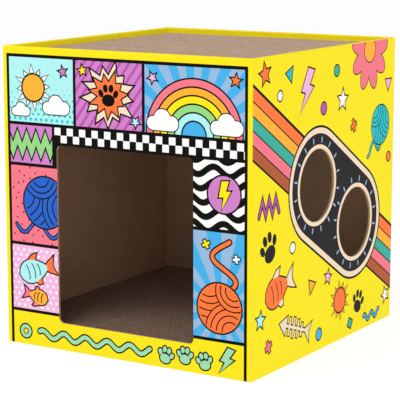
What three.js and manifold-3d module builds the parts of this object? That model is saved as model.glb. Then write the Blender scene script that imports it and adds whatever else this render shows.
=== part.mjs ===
// Cardboard cat house: a cube of printed corrugated board with a door, two round
// peep holes, and a scratch pad both on the roof and on the cabin floor.
//
// Frame: millimetres, +Z up, origin at the centre of the footprint on the ground.
// The door is in the front wall (-Y), the peep holes are in the right wall (+X).

import * as THREE from "three";
import { mergeVertices } from "three/addons/utils/BufferGeometryUtils.js";
import Module from "manifold-3d";

// ---------------------------------------------------------------- dimensions
const WIDTH = 380; // across the front, X
const DEPTH = 400; // front to back, Y
const HEIGHT = 400; // ground to rim, Z
const BOARD = 3; // thickness of the corrugated board
const GAP = 0.3; // air between touching boards
const FIT = 1; // clearance round a pad

// door in the front wall and the wider opening in the panel behind it
const DOOR_CENTRE_X = 1;
const DOOR_WIDTH = 209;
const DOOR_BOTTOM = 37;
const DOOR_TOP = 274;
const DOOR_RADIUS = 7;
const DOOR_SETBACK = 8;

// round holes in the right wall: distance from the front face, height, radius
const PEEP_RADIUS = 48;
const PEEP_HOLES = [
  { fromFront: 168.7, height: 223 },
  { fromFront: 280, height: 157 },
];

// roof
const RECESS = 8; // pad surface below the rim
const PAD_THICKNESS = 26;
const RIM_DROP_LONG = 60; // front and back rim flaps, tucked behind the supports
const GLUE_FLAP_WIDTH = 36;

// base
const INNER_FLAP_DEPTH = 184; // front and back base flaps
const FLAP_SIDE_CLEARANCE = 1;
const MEETING_GAP = 1; // between the two outer base flaps

// ------------------------------------------------------------ derived levels
const padTop = HEIGHT - RECESS;
const padBottom = padTop - PAD_THICKNESS;
const shelfTop = padBottom - GAP;
const shelfBottom = shelfTop - BOARD;
const supportTop = shelfBottom - GAP;
const innerFlapBottom = BOARD + GAP;
const innerFlapTop = innerFlapBottom + BOARD;
const floorLevel = innerFlapTop + GAP;
const ply = BOARD + GAP; // pitch of stacked boards
const insideX = WIDTH / 2 - BOARD; // inner face of the side walls
const insideY = DEPTH / 2 - BOARD;

// ------------------------------------------------------------------ materials
const printed = () =>
  new THREE.MeshStandardMaterial({ color: 0xfae826, roughness: 0.55, metalness: 0 });
const kraft = () =>
  new THREE.MeshStandardMaterial({ color: 0xb08a62, roughness: 0.9, metalness: 0 });
const pad = () =>
  new THREE.MeshStandardMaterial({ color: 0xb49982, roughness: 0.95, metalness: 0 });

// ------------------------------------------------------------------- booleans
const wasm = await Module();
wasm.setup();

function toSolid(geometry) {
  const g = geometry.clone();
  g.deleteAttribute("normal");
  g.deleteAttribute("uv");
  const merged = mergeVertices(g, 1e-4);
  return new wasm.Manifold(
    new wasm.Mesh({
      numProp: 3,
      vertProperties: merged.attributes.position.array,
      triVerts: new Uint32Array(merged.index.array),
    }),
  );
}

function toGeometry(solid) {
  const { vertProperties, triVerts, numProp } = solid.getMesh();
  const position = new Float32Array(triVerts.length * 3);
  triVerts.forEach((v, i) => {
    for (let k = 0; k < 3; k++) position[i * 3 + k] = vertProperties[v * numProp + k];
  });
  const geometry = new THREE.BufferGeometry();
  geometry.setAttribute("position", new THREE.BufferAttribute(position, 3));
  geometry.computeVertexNormals();
  return geometry;
}

const cut = (geometry, ...cutters) =>
  toGeometry(cutters.reduce((solid, c) => solid.subtract(toSolid(c)), toSolid(geometry)));

// --------------------------------------------------------------------- shapes
// A rectangle with rounded corners, drawn about x = 0 from z0 to z1.
function roundedRect(cx, width, z0, z1, r) {
  const x0 = cx - width / 2;
  const x1 = cx + width / 2;
  const s = new THREE.Shape();
  s.moveTo(x0 + r, z0);
  s.lineTo(x1 - r, z0);
  s.absarc(x1 - r, z0 + r, r, -Math.PI / 2, 0, false);
  s.lineTo(x1, z1 - r);
  s.absarc(x1 - r, z1 - r, r, 0, Math.PI / 2, false);
  s.lineTo(x0 + r, z1);
  s.absarc(x0 + r, z1 - r, r, Math.PI / 2, Math.PI, false);
  s.lineTo(x0, z0 + r);
  s.absarc(x0 + r, z0 + r, r, Math.PI, 1.5 * Math.PI, false);
  return s;
}

// A cutter of that outline: it runs along +Y from y0 to y1, its drawing in X and Z.
function cutterAlongY(shape, y0, y1, curveSegments) {
  const g = new THREE.ExtrudeGeometry(shape, {
    depth: y1 - y0,
    bevelEnabled: false,
    curveSegments,
  });
  // drawing plane XY and extrusion Z become XZ and -Y, so start at the far side
  g.rotateX(Math.PI / 2);
  g.translate(0, y1, 0);
  return g;
}

// A board standing on edge with its ends mitred at 45 degrees. Its outer face is at
// y = setback, its length runs along X, and it is drawn for a wall of the given length.
const mitreGap = (GAP * Math.SQRT2) / 2;
function mitredBoard(wallLength, z0, z1, setback = 0) {
  const outer = wallLength / 2 - setback - mitreGap;
  const inner = outer - BOARD;
  const s = new THREE.Shape();
  s.moveTo(-outer, setback);
  s.lineTo(outer, setback);
  s.lineTo(inner, setback + BOARD);
  s.lineTo(-inner, setback + BOARD);
  s.closePath();
  const g = new THREE.ExtrudeGeometry(s, { depth: z1 - z0, bevelEnabled: false });
  g.translate(0, 0, z0);
  return g;
}

// A square-edged board given by its low and high corners.
function block([x0, y0, z0], [x1, y1, z1]) {
  const g = new THREE.BoxGeometry(x1 - x0, y1 - y0, z1 - z0);
  g.translate((x0 + x1) / 2, (y0 + y1) / 2, (z0 + z1) / 2);
  return g;
}

function piece(name, geometry, material) {
  const mesh = new THREE.Mesh(geometry, material);
  mesh.name = name;
  return mesh;
}

// --------------------------------------------------------------------- carton
// Each side is drawn in a frame of its own: X along the wall, +Y inwards from the
// outer face, Z up. The frame is then turned to its side of the house.
function side(x, y, turn) {
  const g = new THREE.Group();
  g.position.set(x, y, 0);
  g.rotation.z = turn;
  return g;
}

const house = new THREE.Group();
house.name = "cat_house";

const front = side(0, -DEPTH / 2, 0);
const right = side(WIDTH / 2, 0, Math.PI / 2);
const back = side(0, DEPTH / 2, Math.PI);
const left = side(-WIDTH / 2, 0, -Math.PI / 2);
house.add(front, right, back, left);

// walls
front.add(
  piece(
    "front_wall",
    cut(
      mitredBoard(WIDTH, 0, HEIGHT),
      cutterAlongY(
        roundedRect(DOOR_CENTRE_X, DOOR_WIDTH, DOOR_BOTTOM, DOOR_TOP, DOOR_RADIUS),
        -5,
        BOARD + 5,
        6,
      ),
    ),
    printed(),
  ),
);

right.add(
  piece(
    "right_wall",
    cut(
      mitredBoard(DEPTH, 0, HEIGHT),
      ...PEEP_HOLES.map(({ fromFront, height }) => {
        const c = new THREE.CylinderGeometry(PEEP_RADIUS, PEEP_RADIUS, BOARD + 10, 48);
        c.translate(fromFront - DEPTH / 2, BOARD / 2, height);
        return c;
      }),
    ),
    printed(),
  ),
);

back.add(piece("back_wall", mitredBoard(WIDTH, 0, HEIGHT), printed()));
left.add(piece("left_wall", mitredBoard(DEPTH, 0, HEIGHT), printed()));

// the lap of the left wall that is glued inside the back wall
const rimDropShort = HEIGHT - shelfBottom;
left.add(
  piece(
    "glue_flap",
    block(
      [-DEPTH / 2 + ply, BOARD + 0.5, innerFlapTop + 2],
      [-DEPTH / 2 + ply + BOARD, BOARD + 0.5 + GLUE_FLAP_WIDTH, HEIGHT - RIM_DROP_LONG - 4],
    ),
    kraft(),
  ),
);

// rim flaps, turned over the top edge and down inside the walls
front.add(
  piece(
    "front_rim_flap",
    mitredBoard(WIDTH, HEIGHT - RIM_DROP_LONG, HEIGHT, ply),
    printed(),
  ),
);
back.add(
  piece(
    "back_rim_flap",
    mitredBoard(WIDTH, HEIGHT - RIM_DROP_LONG, HEIGHT, ply),
    printed(),
  ),
);
right.add(
  piece("right_rim_flap", mitredBoard(DEPTH, HEIGHT - rimDropShort, HEIGHT, ply), printed()),
);
left.add(
  piece("left_rim_flap", mitredBoard(DEPTH, HEIGHT - rimDropShort, HEIGHT, ply), printed()),
);

// base flaps: the inner pair hangs from the front and back walls, and the outer pair
// folds over it from the side walls and meets in the middle
const innerHalf = insideX - FLAP_SIDE_CLEARANCE;
for (const [frame, name] of [
  [front, "front_base_flap"],
  [back, "back_base_flap"],
])
  frame.add(
    piece(
      name,
      block(
        [-innerHalf, BOARD + GAP, innerFlapBottom],
        [innerHalf, BOARD + GAP + INNER_FLAP_DEPTH, innerFlapTop],
      ),
      kraft(),
    ),
  );

const outerHalf = insideY - FLAP_SIDE_CLEARANCE;
const outerDepth = insideX - GAP - MEETING_GAP / 2;
for (const [frame, name] of [
  [left, "left_base_flap"],
  [right, "right_base_flap"],
])
  frame.add(
    piece(
      name,
      block([-outerHalf, BOARD + GAP, 0], [outerHalf, BOARD + GAP + outerDepth, BOARD]),
      printed(),
    ),
  );

// ------------------------------------------------------------------- supports
// Loose panels that stand behind the front and back walls and carry the shelf.
const supportHalf = insideX - 2 * GAP;
const supportSetback = 2 * ply; // behind the wall and its rim flap
const supportBoard = () =>
  block(
    [-supportHalf, supportSetback, floorLevel],
    [supportHalf, supportSetback + BOARD, supportTop],
  );
front.add(
  piece(
    "front_support",
    cut(
      supportBoard(),
      cutterAlongY(
        roundedRect(
          DOOR_CENTRE_X,
          DOOR_WIDTH + 2 * DOOR_SETBACK,
          DOOR_BOTTOM - DOOR_SETBACK,
          DOOR_TOP + DOOR_SETBACK,
          DOOR_RADIUS + DOOR_SETBACK,
        ),
        supportSetback - 5,
        supportSetback + BOARD + 5,
        6,
      ),
    ),
    kraft(),
  ),
);
back.add(piece("back_support", supportBoard(), kraft()));

// ---------------------------------------------------------------------- roof
// The shelf and the pad drop in between the inner faces of the rim flaps.
const rimInsideX = WIDTH / 2 - ply - BOARD;
const rimInsideY = DEPTH / 2 - ply - BOARD;
const roof = new THREE.Group();
roof.position.z = shelfBottom;
house.add(roof);

const shelfHalfX = rimInsideX - FIT / 2;
const shelfHalfY = rimInsideY - FIT / 2;
roof.add(
  piece(
    "shelf",
    block([-shelfHalfX, -shelfHalfY, 0], [shelfHalfX, shelfHalfY, BOARD]),
    kraft(),
  ),
);

const topPadHalfX = rimInsideX - FIT;
const topPadHalfY = rimInsideY - FIT;
const topPad = piece(
  "top_scratch_pad",
  block([-topPadHalfX, -topPadHalfY, 0], [topPadHalfX, topPadHalfY, PAD_THICKNESS]),
  pad(),
);
topPad.position.z = ply;
roof.add(topPad);

// --------------------------------------------------------------------- floor
const floorPadHalfX = insideX - FIT;
const floorPadHalfY = DEPTH / 2 - supportSetback - BOARD - FIT;
const floorPad = piece(
  "floor_scratch_pad",
  block([-floorPadHalfX, -floorPadHalfY, 0], [floorPadHalfX, floorPadHalfY, PAD_THICKNESS]),
  pad(),
);
floorPad.position.z = floorLevel;
house.add(floorPad);

export default house;
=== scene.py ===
import math
import random

import bpy
import numpy as np
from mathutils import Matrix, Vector
from mathutils.geometry import delaunay_2d_cdt


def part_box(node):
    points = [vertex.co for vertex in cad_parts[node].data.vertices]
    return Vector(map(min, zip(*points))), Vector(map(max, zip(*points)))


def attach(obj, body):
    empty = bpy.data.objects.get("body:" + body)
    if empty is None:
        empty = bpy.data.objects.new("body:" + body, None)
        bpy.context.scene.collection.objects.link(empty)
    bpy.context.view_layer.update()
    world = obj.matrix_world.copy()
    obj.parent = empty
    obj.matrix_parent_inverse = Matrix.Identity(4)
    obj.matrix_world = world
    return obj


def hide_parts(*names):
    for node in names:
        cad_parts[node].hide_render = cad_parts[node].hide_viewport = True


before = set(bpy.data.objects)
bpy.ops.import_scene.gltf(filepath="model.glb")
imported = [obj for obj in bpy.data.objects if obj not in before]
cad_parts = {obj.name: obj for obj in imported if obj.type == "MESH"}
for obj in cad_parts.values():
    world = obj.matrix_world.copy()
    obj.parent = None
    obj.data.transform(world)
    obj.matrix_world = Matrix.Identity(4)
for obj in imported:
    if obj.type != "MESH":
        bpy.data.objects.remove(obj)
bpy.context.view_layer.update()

MM = 0.001
TAU = 2 * math.pi
SEED = 20

# ---------------------------------------------------------------- sizes, in mm
WIDTH, DEPTH, HEIGHT = 380.0, 400.0, 400.0
BOARD = 3.0
RIM = 6.3            # the wall and its turned-over flap, across the top
LINER = 0.45         # paper facing of the board
MEDIUM = 0.24        # the wavy paper between the facings
PITCH = 6.3          # flute pitch
CREASE = 3.0         # outer radius of the upright creases
FOLD = 1.9           # radius of the two creases of the rim
TUCK = 1.5           # radius of the bottom crease
DOOR = (-103.5, 37.0, 105.5, 274.0, 7.0)
PEEPS = ((-31.3, 223.0, 48.0), (80.0, 157.0, 48.0))


# ---------------------------------------------------------------- colours
def lin(r, g, b):
    def one(c):
        c /= 255.0
        return c / 12.92 if c <= 0.04045 else ((c + 0.055) / 1.055) ** 2.4

    return (one(r), one(g), one(b))


INK = {k: lin(*v) for k, v in dict(
    yellow=(250, 230, 28),
    black=(17, 14, 13),
    white=(250, 249, 246),
    aqua=(176, 240, 238),
    orchid=(207, 130, 198),
    coral=(246, 122, 138),
    pink=(244, 184, 224),
    sky=(72, 176, 232),
    green=(150, 214, 132),
    mint=(161, 220, 174),
    orange=(255, 122, 62),
    charcoal=(36, 32, 34),
    cream=(242, 220, 192),
    steel=(150, 186, 220),
    teal=(42, 196, 204),
    salmon=(246, 152, 118),
    brown=(178, 92, 54),
    leaf=(60, 176, 156),
    blue=(44, 100, 200),
    tan=(240, 182, 110),
    plum=(186, 86, 176),
    navy=(58, 52, 112),
    amber=(255, 178, 56),
    paper=(232, 200, 160),
    kraft=(172, 138, 104),
).items()}


# ---------------------------------------------------------------- flat shapes
def circle(cx, cy, r, n=None):
    n = n or max(10, min(72, int(r * 2.0) + 12))
    return [(cx + r * math.cos(TAU * i / n), cy + r * math.sin(TAU * i / n)) for i in range(n)]


def ellipse(cx, cy, rx, ry, turn=0.0, n=None):
    n = n or max(12, min(64, int(max(rx, ry) * 2.0) + 12))
    c, s = math.cos(turn), math.sin(turn)
    out = []
    for i in range(n):
        x, y = rx * math.cos(TAU * i / n), ry * math.sin(TAU * i / n)
        out.append((cx + c * x - s * y, cy + s * x + c * y))
    return out


def rect(x0, y0, x1, y1):
    return [(x0, y0), (x1, y0), (x1, y1), (x0, y1)]


def round_rect(x0, y0, x1, y1, r, n=7):
    out = []
    for cx, cy, a0 in ((x1 - r, y0 + r, -90), (x1 - r, y1 - r, 0), (x0 + r, y1 - r, 90), (x0 + r, y0 + r, 180)):
        for i in range(n + 1):
            a = math.radians(a0 + 90.0 * i / n)
            out.append((cx + r * math.cos(a), cy + r * math.sin(a)))
    return out


def ngon(cx, cy, r, n, turn=0.0):
    return [(cx + r * math.cos(turn + TAU * i / n), cy + r * math.sin(turn + TAU * i / n)) for i in range(n)]


def star(cx, cy, r, inner, n=5, turn=math.pi / 2, uneven=None):
    out = []
    for i in range(2 * n):
        q = r if i % 2 == 0 else r * inner
        if uneven:
            q *= uneven[i % len(uneven)]
        a = turn + math.pi * i / n
        out.append((cx + q * math.cos(a), cy + q * math.sin(a)))
    return out


def moved(poly, dx=0.0, dy=0.0, turn=0.0, scale=1.0):
    c, s = math.cos(turn) * scale, math.sin(turn) * scale
    return [(dx + c * x - s * y, dy + s * x + c * y) for x, y in poly]


def signed_area(poly):
    a = 0.0
    for (x0, y0), (x1, y1) in zip(poly, poly[1:] + poly[:1]):
        a += x0 * y1 - x1 * y0
    return a / 2


def is_convex(poly):
    n = len(poly)
    for i in range(n):
        (ax, ay), (bx, by), (cx, cy) = poly[i - 1], poly[i], poly[(i + 1) % n]
        if (bx - ax) * (cy - by) - (by - ay) * (cx - bx) < -1e-9:
            return False
    return True


def grow(poly, d):
    """The outline moved outwards by d, with its sharp points cut short."""
    if signed_area(poly) < 0:
        poly = poly[::-1]
    out, n = [], len(poly)
    for i in range(n):
        (ax, ay), (bx, by), (cx, cy) = poly[i - 1], poly[i], poly[(i + 1) % n]
        e0, e1 = math.hypot(bx - ax, by - ay) or 1, math.hypot(cx - bx, cy - by) or 1
        n0 = ((by - ay) / e0, -(bx - ax) / e0)
        n1 = ((cy - by) / e1, -(cx - bx) / e1)
        k = 1 + n0[0] * n1[0] + n0[1] * n1[1]
        mx, my = (n0[0] + n1[0]) / max(k, 0.22), (n0[1] + n1[1]) / max(k, 0.22)
        out.append((bx + d * mx, by + d * my))
    return out


def clip(poly, x0, y0, x1, y1):
    def cut(points, inside, meet):
        res = []
        for i, p in enumerate(points):
            q = points[i - 1]
            if inside(p):
                if not inside(q):
                    res.append(meet(q, p))
                res.append(p)
            elif inside(q):
                res.append(meet(q, p))
        return res

    def at_x(v):
        return lambda a, b: (v, a[1] + (b[1] - a[1]) * (v - a[0]) / (b[0] - a[0]))

    def at_y(v):
        return lambda a, b: (a[0] + (b[0] - a[0]) * (v - a[1]) / (b[1] - a[1]), v)

    for inside, meet in (
        (lambda p: p[0] >= x0, at_x(x0)),
        (lambda p: p[0] <= x1, at_x(x1)),
        (lambda p: p[1] >= y0, at_y(y0)),
        (lambda p: p[1] <= y1, at_y(y1)),
    ):
        if poly:
            poly = cut(poly, inside, meet)
    return poly


def stroke(points, w, cap=True):
    """A line of width w along the points, with round ends."""
    n, h = len(points), w / 2
    left, right = [], []
    for i, (x, y) in enumerate(points):
        ax, ay = points[max(i - 1, 0)]
        bx, by = points[min(i + 1, n - 1)]
        if 0 < i < n - 1:
            l0, l1 = math.hypot(x - ax, y - ay), math.hypot(bx - x, by - y)
            n0 = (-(y - ay) / l0, (x - ax) / l0)
            n1 = (-(by - y) / l1, (bx - x) / l1)
            k = max(1 + n0[0] * n1[0] + n0[1] * n1[1], 0.3)
            nx, ny = (n0[0] + n1[0]) / k, (n0[1] + n1[1]) / k
        else:
            l = math.hypot(bx - ax, by - ay)
            nx, ny = -(by - ay) / l, (bx - ax) / l
        left.append((x + h * nx, y + h * ny))
        right.append((x - h * nx, y - h * ny))

    def end(at, towards, k=5):
        a = math.atan2(towards[1], towards[0])
        return [(at[0] + h * math.cos(a - math.pi / 2 + math.pi * i / k), at[1] + h * math.sin(a - math.pi / 2 + math.pi * i / k)) for i in range(1, k)]

    (x0, y0), (x1, y1) = points[0], points[-1]
    out = list(right)
    if cap:
        px, py = points[-2]
        out += end((x1, y1), (x1 - px, y1 - py))
    out += left[::-1]
    if cap:
        px, py = points[1]
        out += end((x0, y0), (x0 - px, y0 - py))
    return out


def arc(cx, cy, r, a0, a1, n=16):
    return [(cx + r * math.cos(math.radians(a0 + (a1 - a0) * i / n)), cy + r * math.sin(math.radians(a0 + (a1 - a0) * i / n))) for i in range(n + 1)]


def sine(x0, x1, y, amp, wave, phase=0.0, step=1.6):
    n = max(4, int(abs(x1 - x0) / step))
    return [(x0 + (x1 - x0) * i / n, y + amp * math.sin(TAU * (x0 + (x1 - x0) * i / n) / wave + phase)) for i in range(n + 1)]


class Art:
    """Flat shapes in painter's order. A later shape covers an earlier one."""

    def __init__(self, base):
        self.base = base
        self.shapes = []      # (polygon, ink, index of its window or None)
        self.windows = []
        self.window = None
        self.panel = None

    def inside(self, x0, y0, x1, y1):
        self.panel = (x0, y0, x1, y1)
        self.windows.append(rect(x0, y0, x1, y1))
        self.window = len(self.windows) - 1

    def anywhere(self):
        self.panel = self.window = None

    def put(self, poly, ink):
        if signed_area(poly) < 0:
            poly = poly[::-1]
        window = self.window
        if window is not None:
            x0, y0, x1, y1 = self.panel
            if all(x0 <= x <= x1 and y0 <= y <= y1 for x, y in poly):
                window = None
            elif is_convex(poly):
                poly, window = clip(poly, x0, y0, x1, y1), None
        if len(poly) >= 3 and abs(signed_area(poly)) > 0.05:
            self.shapes.append((poly, ink, window))

    def lined(self, poly, ink, w=1.5):
        self.put(grow(poly, w), "black")
        self.put(poly, ink)

    def line(self, points, w, ink, edge=0.0):
        if edge:
            self.put(stroke(points, w + 2 * edge), "black")
        self.put(stroke(points, w), ink)

    def fill(self, x0, y0, x1, y1, ink):
        self.anywhere()
        self.put(rect(x0, y0, x1, y1), ink)
        self.inside(x0, y0, x1, y1)


# ---------------------------------------------------------------- motifs
def paw(a, x, y, s, ink, turn=0.0, edge=0.0):
    parts = [ellipse(0, -3.4, 6.6, 5.2)]
    parts += [ellipse(px, py, 2.5, 3.5, t) for px, py, t in ((-7.6, 2.2, 0.45), (-2.9, 6.6, 0.12), (2.9, 6.6, -0.12), (7.6, 2.2, -0.45))]
    parts = [moved(p, x, y, turn, s / 10.0) for p in parts]
    if edge:
        for p in parts:
            a.put(grow(p, edge), "black")
    for p in parts:
        a.put(p, ink)


def lens(x, y, r, cx, cy, rr):
    """The part of the circle x, y, r that lies inside the circle cx, cy, rr."""
    pts = [p for p in circle(x, y, r, 96) if math.hypot(p[0] - cx, p[1] - cy) < rr]
    pts += [p for p in circle(cx, cy, rr, 120) if math.hypot(p[0] - x, p[1] - y) < r]
    mx, my = sum(p[0] for p in pts) / len(pts), sum(p[1] for p in pts) / len(pts)
    return sorted(pts, key=lambda p: math.atan2(p[1] - my, p[0] - mx))


def inside_run(x, y, r, cx, cy, rr):
    """The longest run of the circle cx, cy, rr that lies inside the circle x, y, r."""
    run, best = [], []
    for i in range(0, 180):
        t = TAU * i / 90
        q = (cx + rr * math.cos(t), cy + rr * math.sin(t))
        if math.hypot(q[0] - x, q[1] - y) < r:
            run.append(q)
        else:
            best, run = max(best, run, key=len), []
    return best


def yarn(a, x, y, r, ink, turn=0.0, edge=None):
    """A ball of wool: three windings that lie over each other."""
    edge = edge or max(1.6, r * 0.07)
    w = max(1.2, r * 0.052)
    a.lined(circle(x, y, r), ink, edge)
    for away, angle, radii in ((1.15, 2.5, (0.62, 0.9, 1.18, 1.46)), (1.02, -0.55, (1.16, 0.9, 0.64, 0.38)), (1.0, 1.35, (0.86, 0.62, 0.38))):
        t = angle + turn
        cx, cy = x + away * r * math.cos(t), y + away * r * math.sin(t)
        for k, q in enumerate(radii):
            if k == 0 and angle != 2.5:
                patch = lens(x, y, r * 0.985, cx, cy, r * q)
                a.put(patch, "black")
                a.put(lens(x, y, r * 0.985, cx, cy, r * q - w), ink)
                continue
            pts = inside_run(x, y, r * 0.93, cx, cy, r * q)
            if len(pts) > 4:
                a.put(stroke(pts, w), "black")


def fish(a, x, y, s, ink, stripe, turn=0.0, edge=1.9):
    us = np.linspace(0, 1, 17)
    half = [(-22 + 41 * u, 12.8 * max(0.0, math.sin(math.pi * u ** 0.72)) ** 0.8 + 2.2 * u) for u in us]
    body = [(px, -py) for px, py in half] + [(px, py) for px, py in half[::-1][:-1]]
    tail = [(16, 2), (16, -2), (24, -7), (32, -11), (29, -4), (28, 0), (29, 4), (32, 11), (24, 7)]
    fin = [(-7, 11), (5, 12), (9, 19), (2, 18.5), (-4, 15)]
    belly = [(-1, -13), (8, -11), (7, -17), (2, -17)]
    k = s / 22.0
    for p in (tail, fin, belly, body):
        a.put(grow(moved(p, x, y, turn, k), edge), "black")
    for p in (tail, fin, belly, body):
        a.put(moved(p, x, y, turn, k), ink if p is body else stripe)
    for ox, h in ((-11, 9.0), (-2.5, 9.2), (5, 7.0)):
        pts = moved([(ox + 3.0 * math.cos(t), h * math.sin(t)) for t in np.linspace(-1.2, 1.2, 11)], x, y, turn, k)
        a.put(stroke(pts, max(1.1, edge * 0.8)), "black")


def bones(a, x, y, s, ink, turn=0.0, edge=1.3):
    k = s / 22.0
    parts = [rect(-22, -1.4, 16, 1.4), [(15, 0), (27, 9), (24, 0), (27, -9)], [(-33, 0), (-20, 8.5), (-20, -8.5)]]
    for ox, h in ((-14, 8), (-6, 9), (2, 8), (9.5, 6)):
        parts.append([(ox - 1.3, -h), (ox + 1.3, -h), (ox + 1.3, h), (ox - 1.3, h)])
    parts = [moved(p, x, y, turn, k) for p in parts]
    for p in parts:
        a.put(grow(p, edge), "black")
    for p in parts:
        a.put(p, ink)


def bolt(a, x, y, s, ink, turn=0.0, edge=1.6):
    p = [(-3, 20), (9, 20), (3, 5), (11, 5), (-7, -22), (-2, -3), (-10, -3)]
    a.lined(moved(p, x, y, turn, s / 20.0), ink, edge)


def cloud(a, x, y, s, ink="white"):
    parts = [circle(x - 1.1 * s, y, 0.7 * s), circle(x, y + 0.45 * s, s), circle(x + 1.15 * s, y + 0.05 * s, 0.75 * s), rect(x - 1.1 * s, y - 0.7 * s, x + 1.15 * s, y + 0.2 * s)]
    for p in parts:
        a.put(grow(p, 1.4), "black")
    for p in parts:
        a.put(p, ink)


def cross(a, x, y, s, ink, turn=0.0, edge=1.1):
    q = s * 0.3
    p = [(-q, -s), (q, -s), (q, -q), (s, -q), (s, q), (q, q), (q, s), (-q, s), (-q, q), (-s, q), (-s, -q), (-q, -q)]
    a.lined(moved(p, x, y, turn), ink, edge)


def flower(a, x, y, r, petal, heart, n=8, turn=0.0):
    parts = [ellipse(x + 0.62 * r * math.cos(turn + TAU * i / n), y + 0.62 * r * math.sin(turn + TAU * i / n), 0.40 * r, 0.22 * r, turn + TAU * i / n) for i in range(n)]
    for p in parts:
        a.put(grow(p, 1.5), "black")
    for p in parts:
        a.put(p, petal)
    a.lined(circle(x, y, 0.30 * r), heart, 1.5)


def sun(a, x, y, r, ink, rays, n=12, turn=0.1):
    for i in range(n):
        t = turn + TAU * i / n
        q = r * (1.75 if i % 2 else 1.5)
        p = [(x + r * 1.16 * math.cos(t - 0.15), y + r * 1.16 * math.sin(t - 0.15)), (x + q * math.cos(t), y + q * math.sin(t)), (x + r * 1.16 * math.cos(t + 0.15), y + r * 1.16 * math.sin(t + 0.15))]
        a.lined(p[::-1], rays, 1.1)
    a.lined(circle(x, y, r), ink, 1.6)


def moon(a, x, y, r, ink):
    outer = arc(x, y, r, 52, 308, 30)
    ax, ay = outer[-1]
    bx, by = outer[0]
    cx, rr = x + r * 0.62, math.hypot(bx - (x + r * 0.62), by - y)
    inner = [(cx + rr * math.cos(t), y + rr * math.sin(t)) for t in np.linspace(math.atan2(ay - y, ax - cx) % TAU, math.atan2(by - y, bx - cx) % TAU, 18)][1:-1]
    a.lined(outer + inner, ink, 1.5)


def dots(a, ink, r, gap, stagger=True, fade=None):
    """A screen of dots over the panel. fade(x, y) from 0 to 1 scales them."""
    x0, y0, x1, y1 = a.panel
    row, y = 0, y0 + gap / 2
    while y < y1 + gap / 2:
        x = x0 + (gap / 2 if stagger and row % 2 else 0)
        while x < x1 + gap / 2:
            q = r * (fade((x - x0) / (x1 - x0), (y - y0) / (y1 - y0)) if fade else 1)
            if q > 0.35:
                a.put(circle(x, y, q, 10), ink)
            x += gap
        y += gap * (0.8 if stagger else 1)
        row += 1


def rays(a, x, y, n, ink, reach=400, turn=0.0):
    for i in range(n):
        t0, t1 = turn + TAU * (i - 0.25) / n, turn + TAU * (i + 0.25) / n
        a.put([(x, y), (x + reach * math.cos(t0), y + reach * math.sin(t0)), (x + reach * math.cos(t1), y + reach * math.sin(t1))], ink)


def slants(a, ink, w, gap, slope=1.0):
    x0, y0, x1, y1 = a.panel
    h = (y1 - y0) / slope
    x = x0 - abs(h) - gap
    while x < x1 + abs(h) + gap:
        a.put([(x, y0), (x + w, y0), (x + w + h, y1), (x + h, y1)], ink)
        x += gap


def checks(a, x0, y0, size, cols, rows, ink):
    for i in range(cols):
        for j in range(rows):
            if (i + j) % 2 == 0:
                a.put(rect(x0 + i * size, y0 + j * size, x0 + (i + 1) * size, y0 + (j + 1) * size), ink)


def scallops(a, inks, r):
    x0, y0, x1, y1 = a.panel
    rows = int((y1 - y0) / (r * 0.62)) + 3
    for j in range(rows):
        y = y1 - (j - 1) * r * 0.62
        x = x0 + (r if j % 2 else 0)
        while x < x1 + r:
            a.put(circle(x, y, r, 26), "black")
            a.put(circle(x, y, r - 1.3, 26), inks[j % len(inks)])
            a.put(circle(x, y, r * 0.52, 18), "black")
            a.put(circle(x, y, r * 0.52 - 1.2, 18), inks[(j + 1) % len(inks)])
            x += 2 * r


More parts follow.
